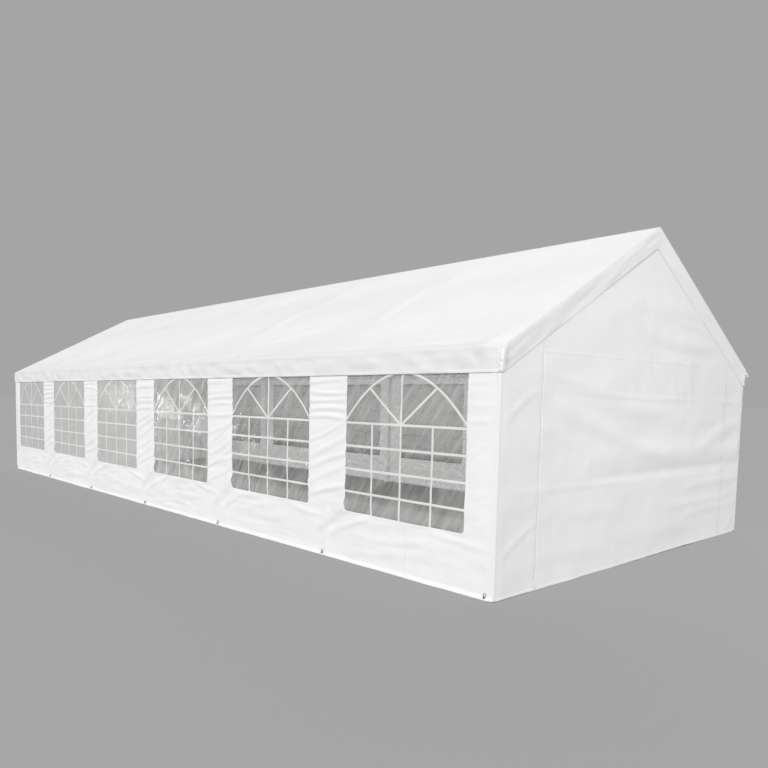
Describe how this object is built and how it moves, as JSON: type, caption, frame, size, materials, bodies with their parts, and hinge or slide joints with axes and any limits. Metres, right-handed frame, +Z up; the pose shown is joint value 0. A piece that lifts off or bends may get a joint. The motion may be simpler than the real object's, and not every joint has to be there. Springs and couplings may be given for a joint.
{
  "type": "marquee tent",
  "caption": "White party tent with a gabled roof, a tube frame, arched clear windows along both long sides and a zipped door panel in each gable.",
  "frame": {"origin": "on the ground, in the middle of the tent's plan", "axes": "+X along the ridge, +Y from the front long side to the back one, +Z up"},
  "size_m": [12.0622, 5.0086, 3.3],
  "materials": {
    "roof_sheet": "white coated tarpaulin, soft sheen",
    "wall_sheet": "white coated tarpaulin, soft sheen",
    "clear_film": "clear flexible film, slightly hazy, glossy",
    "coated_steel": "white powder coat, satin"
  },
  "bodies": {
    "root": {"roof_truss_1": "coated_steel", "leg_front_1": "coated_steel", "leg_back_1": "coated_steel", "roof_truss_2": "coated_steel", "leg_front_2": "coated_steel", "leg_back_2": "coated_steel", "roof_truss_3": "coated_steel", "leg_front_3": "coated_steel", "leg_back_3": "coated_steel", "roof_truss_4": "coated_steel", "leg_front_4": "coated_steel", "leg_back_4": "coated_steel", "roof_truss_5": "coated_steel", "leg_front_5": "coated_steel", "leg_back_5": "coated_steel", "roof_truss_6": "coated_steel", "leg_front_6": "coated_steel", "leg_back_6": "coated_steel", "roof_truss_7": "coated_steel", "leg_front_7": "coated_steel", "leg_back_7": "coated_steel", "ridge_rail": "coated_steel", "purlin_front": "coated_steel", "purlin_back": "coated_steel", "eave_rail_front": "coated_steel", "eave_rail_back": "coated_steel", "ground_rail_front": "coated_steel", "ground_rail_back": "coated_steel", "roof_cover": "roof_sheet", "side_wall_front": "wall_sheet", "window_front_1": "clear_film", "window_front_2": "clear_film", "window_front_3": "clear_film", "window_front_4": "clear_film", "window_front_5": "clear_film", "window_front_6": "clear_film", "side_wall_back": "wall_sheet", "window_back_1": "clear_film", "window_back_2": "clear_film", "window_back_3": "clear_film", "window_back_4": "clear_film", "window_back_5": "clear_film", "window_back_6": "clear_film", "gable_wall_left": "wall_sheet", "door_panel_left": "wall_sheet", "gable_wall_right": "wall_sheet", "door_panel_right": "wall_sheet"}
  },
  "joints": []
}
